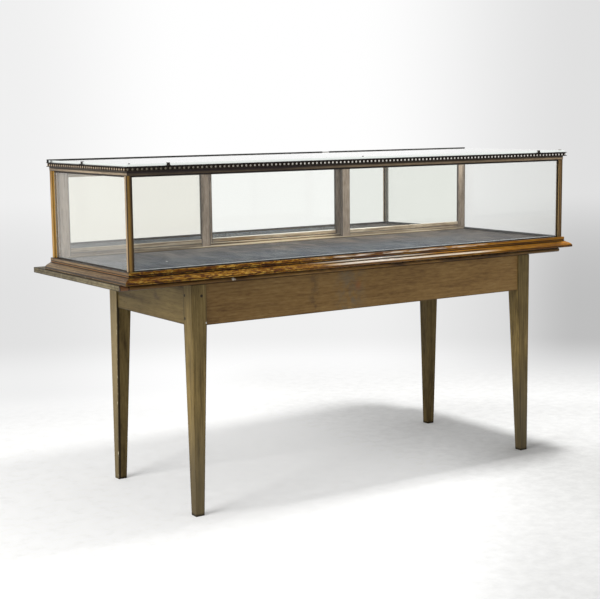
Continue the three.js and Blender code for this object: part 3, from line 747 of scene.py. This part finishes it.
dress(
    timber("head_oak_lit_side", "Y", HEAD_LIT_SIDE, ring=0.2, marks=head_marks),
    "head_rail_left", "head_rail_right",
)
print("the showcase has", len(named("base_", "post_", "head_")), "fixed rails and posts")

# %% Door and track woods
DOOR = ((100, 88, 72), (146, 130, 112), (176, 160, 142))
DOOR_RAIL = ((112, 92, 66), (164, 146, 118), (196, 182, 156))
TRACK = ((112, 88, 54), (184, 160, 120), (226, 208, 176))
dress(
    timber("track_oak", "X", TRACK, fine=1.0, gloss=0.3, shine=0.3, seed=6.1, marks=track_marks),
    "track_lower",
)
dress(timber("track_oak_upper", "X", HEAD, seed=6.7), "track_upper")
for door in DOORS:
    stile_oak = timber(
        door + "_oak", "Z", DOOR, ring=0.2, fleck=0.8, blotch=0.8, seed=0.7, marks=stile_marks(door)
    )
    dress(stile_oak, door + "_stile_left", door + "_stile_right")
dress(
    timber("door_oak_x", "X", DOOR_RAIL, ring=0.2, fleck=0.6, fine=1.2, seed=0.9, marks=door_rail_marks),
    *ended("_rail_top", "_rail_bottom"),
)
dress(timber("panel_wood", "X", DOOR, seed=8.3), "bottom_board", *ended("_back"))
print("finishes so far:", len(bpy.data.materials))

# %% [markdown]
# ## Softened edges
# No edge of an old table is sharp, and a knife edge catches no light. So the legs, aprons, top, posts and
# door frames get a small rounding by two modifiers: one joins the loose triangles of the imported mesh, and
# the other rounds whatever turns sharply.


# %% Rounding
def soften(width, segments, *names):
    for name in names:
        joined = nodes[name].modifiers.new("joined", "WELD")
        joined.merge_threshold = 0.00001
        rounded = nodes[name].modifiers.new("rounded", "BEVEL")
        rounded.width = width
        rounded.segments = segments
        rounded.limit_method = "ANGLE"
        rounded.angle_limit = math.radians(40)


soften(0.0009, 2, *named("leg_", "apron_"), "table_top")
soften(0.0022, 3, *named("post_"))
soften(0.0009, 2, *ended("_stile_left", "_stile_right", "_rail_top", "_rail_bottom"))
print("rounded", len([item for item in nodes.values() if item.modifiers]), "pieces")

# %% [markdown]
# ## Glass and mirrors
# Thin panes hardly bend the view, so a pane is a clear shader with a mirror laid over it. The
# mirror's share follows the angle of view, as on real glass: a few parts in a hundred squarely,
# and nearly all at a glancing angle, which is why the top looks white. The cut edges are ground,
# and shine pale where the light gets in.

# %% Glass
PANE_EDGE = tone(244, 249, 245)


def pane(name, haze, across, tint=(0.995, 0.998, 0.995, 1), settled=0):
    """A pane with dust on it, more at a glancing angle where it has settled from above."""
    glass = Finish(name)
    facing = glass.node("ShaderNodeLayerWeight", None, {"Blend": 0.5}, out="Facing")
    gloss = 0.02 + 0.98 * facing ** 5
    clear = glass.node("ShaderNodeBsdfTransparent", None, {"Color": tint})
    dust = glass.surface(Base_Color=(0.68, 0.68, 0.65, 1), Roughness=1.0, Specular_IOR_Level=0.0)
    mirror = glass.surface(Base_Color=WHITE, Metallic=1.0, Roughness=0.02)
    smears = glass.noise(glass.place(), 7, 3, 0.6)
    body = glass.between(haze * (0.7 + 0.6 * smears) + settled * facing ** 6, clear, dust)
    broad = glass.between(gloss, body, mirror)
    edge = glass.surface(Base_Color=PANE_EDGE, Metallic=1.0, Roughness=0.3)
    normal = glass.parts(glass.node("ShaderNodeTexCoord", out="Normal"))[GRAIN[across]]
    return glass.done(glass.between(glass.step(normal.size(), 0.5, 0.8), edge, broad))


dress(pane("glass_front_finish", 0.012, "Y"), "glass_front")
dress(pane("glass_side_finish", 0.045, "X", (0.994, 0.997, 0.99, 1)), "glass_left", "glass_right")
dress(pane("glass_top_finish", 0.01, "Z", settled=0.5), "glass_top")
print("panes are clear, with ground edges of", [round(part, 3) for part in PANE_EDGE[:3]])

# %% [markdown]
# The mirrors of the doors are old. Damp has got behind the middle one along its lower edge,
# where it shows as a band of dark and pale specks. They lean back by half a degree, too little
# to model but enough to shift what they show. A bump whose height falls evenly with z tips the
# normal by just that angle.

# %% Mirrors
SPECK_TOP = 0.03
RIM = 0.0032
LEAN = 0.0087


def looking_glass(door, silver_tone, damp_from):
    """A mirror, dark along its rim with painted shade, and specked at the foot, most near damp_from, if
    damp got in.
    """
    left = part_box(door + "_stile_left")[1].x
    right_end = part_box(door + "_stile_right")[0].x
    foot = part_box(door + "_rail_bottom")[1].z
    silver = Layered(door + "_silver")
    x, y, z = silver.xyz
    lean = silver.bump(z * -LEAN, 1.0)
    bright = silver.surface(Base_Color=silver_tone, Metallic=1.0, Roughness=0.015, Normal=lean)
    damp = silver.noise(silver.spot, 260, 2, 0.7)
    # Painted shade: a dark rim along both sides of the mirror.
    rim = silver.line(x, left, RIM).top(silver.line(x, right_end, RIM))
    specks = silver.ramp(damp, (0.44, tone(40, 44, 42)), (0.56, tone(176, 178, 168)))
    specks_and_rim_shade = silver.surface(Base_Color=silver.mix(rim, specks, tone(34, 32, 28)), Roughness=0.6)
    low_edge = 1 - silver.step(z, foot, foot + SPECK_TOP)
    rim_shade_and_damp = rim * 0.85
    if damp_from is not None:
        reached = silver.near(x, damp_from, 0.2).top(0.55)
        spoilt = low_edge * reached * silver.step(silver.noise(silver.spot, 90, 3, 0.7), 0.38, 0.56)
        rim_shade_and_damp = rim_shade_and_damp.top(spoilt * 0.8)
    dress(silver.done(silver.between(rim_shade_and_damp, bright, specks_and_rim_shade)), door + "_mirror")
    return right_end - left


SILVER = ((0.85, 0.835, 0.77, 1), (0.965, 0.972, 0.95, 1), (0.835, 0.85, 0.81, 1))
DAMP = (None, -0.25, None)
wide = [looking_glass(door, silver, damp) for door, silver, damp in zip(DOORS, SILVER, DAMP)]
print("the mirrors are", [round(share, 3) for share in wide], "m wide")


# %% Clips
def metal(name, scale, dark, light, metallic, rough):
    """A metal with fine tarnish between two tones."""
    finish = Finish(name)
    tarnish = finish.noise(finish.place(), scale, 2, 0.6)
    shade = finish.ramp(tarnish, (0.35, tone(*dark)), (0.65, tone(*light)))
    return finish.done(finish.surface(Base_Color=shade, Metallic=metallic, Roughness=rough))


clip_finish = metal("clip_metal_finish", 700, (30, 26, 23), (62, 52, 44), 0.7, 0.45)
bright_finish = metal("bright_clip_finish", 500, (104, 101, 95), (168, 165, 158), 0.9, 0.35)
dress(clip_finish, *named("clip_"))
dress(bright_finish, "clip_rear", "clip_right")
print("there are", len(named("clip_")), "clips")

# %% [markdown]
# ## The row of beads
# Under the glass a dark strip carries a row of round beads between two fillets. They could be
# carved out of the strip, but a small ball half sunk in a deep cove looks the same and is clean.
# It has only a few dozen faces, because there are nearly two hundred. Each crown carries a painted
# highlight, a pale dot that is brightest towards the right end of the front.

# %% Helpers for new pieces
SORT_ALONG = Vector((1, 7.3, 53.9))


def piece(name, mesh, material, body="root"):
    """Makes a finished mesh an object at the origin that rides on a body, its faces in order."""
    mesh.faces.sort(key=lambda face: face.calc_center_median().dot(SORT_ALONG))
    data = bpy.data.meshes.new(name)
    mesh.to_mesh(data)
    mesh.free()
    data.materials.append(material)
    made = bpy.data.objects.new(name, data)
    bpy.context.scene.collection.objects.link(made)
    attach(made, body)
    return made


def block(name, low, high, rounded, offset, material):
    """A box between two opposite corners, with the edges that rounded picks softened."""
    mesh = bmesh.new()
    bmesh.ops.create_cube(mesh, size=1)
    bmesh.ops.scale(mesh, verts=mesh.verts, vec=high - low)
    bmesh.ops.translate(mesh, verts=mesh.verts, vec=(low + high) / 2)
    middle = (low.z + high.z) / 2
    picked = [edge for edge in mesh.edges if rounded(middle, *(end.co.z for end in edge.verts))]
    bmesh.ops.bevel(mesh, geom=picked, offset=offset, segments=2, affect="EDGES", profile=0.5, material=-1)
    piece(name, mesh, material)


def upper(middle, first, second):
    """Whether both ends of an edge are above the middle."""
    return first > middle and second > middle


def upright(middle, first, second):
    """Whether one end of an edge is above the middle and the other below."""
    return (first > middle) != (second > middle)


# %% Varnish of the beads
varnish = Layered("beading_varnish")
bead_x, bead_y, bead_z = varnish.xyz
bead_wear = varnish.noise(varnish.spot, 160, 2, 0.6)
varnish.colour = varnish.ramp(bead_wear, (0.3, tone(22, 15, 10)), (0.7, tone(56, 44, 32)))
strip_low, strip_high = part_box("bead_strip_front")
# Painted highlights on the crowns of the beads: near white towards the right of the front, dimmer to the
# left, tan on the sides.
front_crown = varnish.step(strip_low.y - bead_y, -0.002, -0.0008)
side_crown = varnish.step(strip_low.x - bead_x, -0.002, -0.0008).top(
    varnish.step(bead_x - strip_high.x, -0.002, -0.0008)
)
crown_tone = varnish.mix(varnish.step(bead_x, -0.8, 0.0), tone(112, 106, 92), tone(246, 242, 234))
crown_tone = varnish.mix(side_crown, crown_tone, tone(156, 138, 116))
level = varnish.step(bead_z, 1.1075, 1.109) * (1 - varnish.step(bead_z, 1.115, 1.1164))
crown_highlight = front_crown.top(side_crown) * level * (0.65 + 0.35 * varnish.step(bead_wear, 0.35, 0.5))
varnish.colour = varnish.mix(crown_highlight, varnish.colour, crown_tone)
# The top fillet is stained near black: painted shade in the gap under the glass.
fillets = varnish.step(bead_z, strip_high.z - 0.0034, strip_high.z - 0.0026)
varnish.stain(fillets * 0.85, (14, 10, 8))
bead_finish = varnish.done(
    varnish.surface(
        Base_Color=varnish.colour, Roughness=0.34, Specular_IOR_Level=0.14,
        Coat_Weight=0.1, Coat_Roughness=0.15,
    )
)
print("the beaded strip is", round(strip_high.z - strip_low.z, 4), "m tall")

# %% Beading
BEAD_PITCH = 0.016
BEAD_RADIUS = 0.0056
BEAD_DROP = 0.0012
COVE = 0.0052
LIP = 0.0016
STRIP_DEPTH = 0.016


def beading(name, start, end, out, mitres):
    """A strip with fillets and beads on its outer side, cut at 45 degrees at the mitred ends."""
    run = end - start
    length = run.length
    direction = run / length
    low, high = strip_low.z, strip_high.z
    mesh = bmesh.new()
    profile = [
        (-STRIP_DEPTH, low), (-0.0012, low), (-0.0004, low + LIP), (-COVE, low + 2 * LIP),
        (-COVE, high - 2 * LIP), (-0.0004, high - LIP), (-0.0012, high), (-STRIP_DEPTH, high),
    ]
    corners = [mesh.verts.new(start + out * step + Vector((0, 0, level))) for step, level in profile]
    face = mesh.faces.new(corners)
    grown = bmesh.ops.extrude_face_region(mesh, geom=[face])
    moved = [part for part in grown["geom"] if isinstance(part, bmesh.types.BMVert)]
    bmesh.ops.translate(mesh, verts=moved, vec=run)
    for vertex in mesh.verts:
        depth = (start - vertex.co).dot(out)
        if vertex in moved:
            vertex.co -= direction * depth * mitres[1]
        else:
            vertex.co += direction * depth * mitres[0]
    count = int(length / BEAD_PITCH)
    first = (length - (count - 1) * BEAD_PITCH) / 2
    middle = (low + high) / 2 - BEAD_DROP
    for number in range(count):
        spot = start + direction * (first + number * BEAD_PITCH) - out * BEAD_RADIUS
        spot = spot + Vector((0, 0, middle))
        ball = bmesh.ops.create_uvsphere(
            mesh, u_segments=12, v_segments=8, radius=BEAD_RADIUS, matrix=Matrix.Translation(spot)
        )
        for vertex in ball["verts"]:
            for side_face in vertex.link_faces:
                side_face.smooth = True
    bmesh.ops.recalc_face_normals(mesh, faces=mesh.faces)
    made = piece(name.replace("bead_strip", "beading"), mesh, bead_finish)
    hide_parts(name)
    print(made.name, "has", count, "beads")


left_low, left_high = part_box("bead_strip_left")
right_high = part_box("bead_strip_right")[1]
strip_runs = {
    "bead_strip_front": ((strip_low.x, strip_low.y), (strip_high.x, strip_low.y), (0, -1), (1, 1)),
    "bead_strip_left": ((left_low.x, strip_low.y), (left_low.x, left_high.y), (-1, 0), (1, 0)),
    "bead_strip_right": ((right_high.x, strip_low.y), (right_high.x, right_high.y), (1, 0), (1, 0)),
}
for name, (start, end, out, mitres) in strip_runs.items():
    beading(name, Vector((*start, 0)), Vector((*end, 0)), Vector((*out, 0)), mitres)

# %% [markdown]
# ## Putty and slips
# Each pane is bedded in putty that has turned nearly black, in the corner between wood and glass, and its
# dark colour is partly painted shade in that corner. A flat face the size of the opening gives it all: an
# inset makes a ring, the middle goes, and the ring is drawn outwards and closed to a wedge. The upper run
# has sagged a little, so its inner edge is moved down. Inside, a thin pale slip holds the foot of the pane,
# and its pale line is partly a painted highlight on the lower edge of the glass.

# %% Putty
PUTTY = 0.0026
PUTTY_SAG = 0.0024
CLOSE = 0.00001
post_low, post_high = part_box("post_front_left")
OPENING_TALL = post_high.z - post_low.z
putty = Layered("black_putty")
putty_grain = putty.noise(putty.spot, 300, 3, 0.6)
putty.colour = putty.ramp(putty_grain, (0.35, tone(18, 13, 9)), (0.7, tone(46, 34, 24)))
putty.stain(putty.step(putty.xyz[1], 0.233, 0.235) * 0.85, (158, 122, 62))
putty_finish = putty.done(putty.surface(Base_Color=putty.colour, Roughness=0.55, Specular_IOR_Level=0.2))


def bedding(name, middle, width, out):
    """A wedge of putty round an opening, whose middle on plan, width and outward side are given."""
    mesh = bmesh.new()
    bmesh.ops.create_grid(mesh, x_segments=1, y_segments=1, size=0.5)
    bmesh.ops.scale(mesh, verts=mesh.verts, vec=(width, OPENING_TALL, 1))
    ring = bmesh.ops.inset_region(
        mesh, faces=list(mesh.faces), thickness=PUTTY, use_boundary=True, use_even_offset=True
    )
    bmesh.ops.delete(mesh, geom=[face for face in mesh.faces if face not in ring["faces"]], context="FACES")
    inner = [vertex for vertex in mesh.verts if abs(vertex.co.x) < width / 2 - CLOSE]
    sagging = [vertex for vertex in inner if 0 < vertex.co.y < OPENING_TALL / 2 - CLOSE]
    bmesh.ops.translate(mesh, verts=sagging, vec=(0, -PUTTY_SAG, 0))
    grown = bmesh.ops.extrude_face_region(mesh, geom=list(mesh.faces))
    lifted = [part for part in grown["geom"] if isinstance(part, bmesh.types.BMVert)]
    outer = [vertex for vertex in lifted if abs(abs(vertex.co.x) - width / 2) < CLOSE]
    outer = [vertex for vertex in outer if abs(abs(vertex.co.y) - OPENING_TALL / 2) < CLOSE]
    bmesh.ops.translate(mesh, verts=outer, vec=(0, 0, PUTTY))
    bmesh.ops.remove_doubles(mesh, verts=mesh.verts, dist=CLOSE)
    stand = Vector(out).to_track_quat("Z", "Y").to_matrix().to_4x4()
    centre = Matrix.Translation((*middle, (post_low.z + post_high.z) / 2))
    bmesh.ops.transform(mesh, matrix=centre @ stand, verts=mesh.verts)
    bmesh.ops.recalc_face_normals(mesh, faces=mesh.faces)
    piece(name, mesh, putty_finish)


front_low, front_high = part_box("glass_front")
side_low, side_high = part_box("glass_left")
far_low, far_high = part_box("glass_right")
corner_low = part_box("post_front_right")[0]
rear_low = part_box("post_rear_left")[0]
front_middle = (post_high.x + corner_low.x) / 2
front_width = corner_low.x - post_high.x
side_middle = (post_high.y + rear_low.y) / 2
side_width = rear_low.y - post_high.y
bedding("putty_front", (front_middle, front_low.y), front_width, (0, -1, 0))
bedding("putty_left", (side_low.x, side_middle), side_width, (-1, 0, 0))
bedding("putty_right", (far_high.x, side_middle), side_width, (1, 0, 0))
print("the openings are", round(OPENING_TALL, 4), "m tall")

# %% Slips at the foot of the panes
SLIP_THICK = 0.0015
SLIP_TALL = 0.0042
ARRIS = 0.0004
SLIP = ((196, 200, 200), (232, 238, 240), (250, 252, 252))


def slip_marks(wood, x, y, z):
    """The rear side of a slip, which the cloth touches, is dark."""
    wood.stain(wood.step(y, slip_back - 0.0005, slip_back - 0.0002) * 0.85, SOOT_AND_SHADE)


slip_back = front_high.y + SLIP_THICK
slip_wood = timber("slip_wood", "X", SLIP, ring=0.1, marks=slip_marks)
foot = post_low.z
slip_top = foot + SLIP_TALL
slip_ends = {
    "slip_front": ((post_high.x, front_high.y, foot), (corner_low.x, slip_back, slip_top)),
    "slip_left": ((side_high.x, post_high.y, foot), (side_high.x + SLIP_THICK, rear_low.y, slip_top)),
    "slip_right": ((far_low.x - SLIP_THICK, post_high.y, foot), (far_low.x, rear_low.y, slip_top)),
}
for name, (low, high) in slip_ends.items():
    block(name, Vector(low), Vector(high), upper, ARRIS, slip_wood)
print("the slips stand", SLIP_TALL, "m high")

# %% [markdown]
# ## Small fittings on the glass
# A thin dark strip lies along the rear edge of the top glass, with a gap for the clip, and turns
# down at its left end. Two small buttons near the front keep what is laid on the glass off it.

# %% Strip along the rear edge
GUARD_DEPTH = 0.006
GUARD_HEIGHT = 0.003
CLIP_GAP = 0.003
END_DEPTH = 0.012
rubber = Finish("rubber_strip")
rubber_dust = rubber.noise(rubber.place(), 240, 3, 0.6)
rubber_tone = rubber.ramp(rubber_dust, (0.35, tone(9, 8, 7)), (0.75, tone(30, 27, 24)))
rubber_finish = rubber.done(rubber.surface(Base_Color=rubber_tone, Roughness=0.75, Specular_IOR_Level=0.15))
glass_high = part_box("glass_top")[1]
clip_low, clip_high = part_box("clip_rear")
guard_runs = {
    "rear_guard_left": (strip_low.x, clip_low.x - CLIP_GAP),
    "rear_guard_right": (clip_high.x + CLIP_GAP, glass_high.x),
}
for name, (left, right_end) in guard_runs.items():
    guard_low = Vector((left, glass_high.y - GUARD_DEPTH, glass_high.z))
    guard_high = Vector((right_end, glass_high.y, glass_high.z + GUARD_HEIGHT))
    block(name, guard_low, guard_high, upper, ARRIS, rubber_finish)

end_low = Vector((strip_low.x, glass_high.y - END_DEPTH, strip_high.z))
end_high = Vector((strip_low.x + GUARD_HEIGHT, glass_high.y, glass_high.z))
block("rear_guard_end", end_low, end_high, upright, 2 * ARRIS, rubber_finish)
print("the strip lies in", len(guard_runs), "parts along the rear edge")

# %% Buttons
BUTTON_RADIUS = 0.0035
BUTTON_HEIGHT = 0.0016


def button(name, x, y):
    """A low round button: a disc that is drawn up and rounded over."""
    mesh = bmesh.new()
    ring = bmesh.ops.create_circle(mesh, cap_ends=True, radius=BUTTON_RADIUS, segments=20)
    bmesh.ops.translate(mesh, verts=ring["verts"], vec=(x, y, glass_high.z))
    grown = bmesh.ops.extrude_face_region(mesh, geom=list(mesh.faces))
    lifted = [part for part in grown["geom"] if isinstance(part, bmesh.types.BMVert)]
    bmesh.ops.translate(mesh, verts=lifted, vec=(0, 0, BUTTON_HEIGHT))
    rim = [edge for edge in mesh.edges if all(end in lifted for end in edge.verts)]
    bmesh.ops.bevel(mesh, geom=rim, offset=0.0008, segments=3, affect="EDGES", profile=0.5, material=-1)
    bmesh.ops.recalc_face_normals(mesh, faces=mesh.faces)
    piece(name, mesh, clip_finish)


button("glass_button_left", -0.8914, -0.2955)
button("glass_button_middle", -0.0165, -0.299)
print("fittings lie on the glass at", round(glass_high.z, 4), "m")

# %% [markdown]
# ## The cloth
# A felt-like cloth lies on the floor of the case. A grid is enough for it: a few soft waves lift it by less
# than a millimetre. Years of light and dust have turned it brown towards the doors and the right end.

# %% Felt
felt = Layered("felt_finish")
felt_x, felt_y = felt.xyz[:2]
felt_fuzz = felt.noise(felt.spot, 900, 2, 0.7)
felt_patch = felt.noise(felt.stretch(felt.spot, (1.6, 0.5, 1)), 12, 4, 0.7)
felt_share = felt_patch * 0.9 + felt_fuzz * 0.1
felt_blue = felt.ramp(felt_share, (0.4, tone(48, 57, 68)), (0.6, tone(88, 93, 96)))
felt_brown = felt.ramp(felt_share, (0.4, tone(48, 40, 34)), (0.6, tone(104, 90, 74)))
faded = 0.75 * felt.step(felt_x, 0.3, 0.9)
faded = faded.top(felt.step(felt_y, -0.14, 0.14) * (0.55 + 0.4 * felt.step(felt_x, -0.9, 0.4)))
felt.colour = felt.mix(faded, felt_blue, felt_brown)
felt_light = 0.68 + 0.22 * felt.near(felt_x, -0.2, 0.35) + 0.08 * felt.step(felt_x, -0.1, 0.1)
felt_light = felt_light + 0.4 * felt.step(0 - felt_x, 0.74, 0.84) * felt.step(felt_y, -0.15, 0.05)
felt.fade(felt_light - 0.22 * felt.step(felt_x, 0.3, 0.75))
felt_streaks = felt.noise(felt.stretch(felt.spot, (1, 0.4, 1)), 30, 2, 0.6)
felt.fade(0.7 + 0.6 * felt.step(felt_streaks, 0.38, 0.62))
lint = felt.step(felt.noise(felt.spot, 420, 1, 0.5), 0.7, 0.74)
felt.stain(lint * 0.5, (190, 192, 190))
felt.dab((-0.6563, -0.0837, 0.7998), 0.006, (236, 236, 232), 1)
felt_relief = felt.bump(felt_fuzz, 0.0006, 0.7)
felt_finish = felt.done(
    felt.surface(
        Base_Color=felt.colour, Roughness=0.95, Normal=felt_relief, Sheen_Weight=0.08,
        Specular_IOR_Level=0.1,
    )
)
print("the felt's finish has", len(felt.tree.nodes), "nodes")

# %% Cloth
cloth_low, cloth_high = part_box("display_cloth")
cloth_size = cloth_high - cloth_low
cloth_mesh = bmesh.new()
bmesh.ops.create_grid(cloth_mesh, x_segments=120, y_segments=34, size=0.5)
bmesh.ops.scale(cloth_mesh, verts=cloth_mesh.verts, vec=(cloth_size.x, cloth_size.y, 1))
bmesh.ops.translate(cloth_mesh, verts=cloth_mesh.verts, vec=(cloth_low + cloth_high) / 2)
for vertex in cloth_mesh.verts:
    ripple = math.sin(vertex.co.x * 9 + 2 * math.sin(vertex.co.y * 11)) * math.sin(vertex.co.y * 17)
    vertex.co.z = cloth_low.z + 0.0006 + 0.0004 * ripple
cloth = piece("felt_sheet", cloth_mesh, felt_finish)
thick = cloth.modifiers.new("thick", "SOLIDIFY")
thick.thickness = 0.0005
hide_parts("display_cloth")
print("the cloth measures", round(cloth_size.x, 3), "by", round(cloth_size.y, 3), "m")
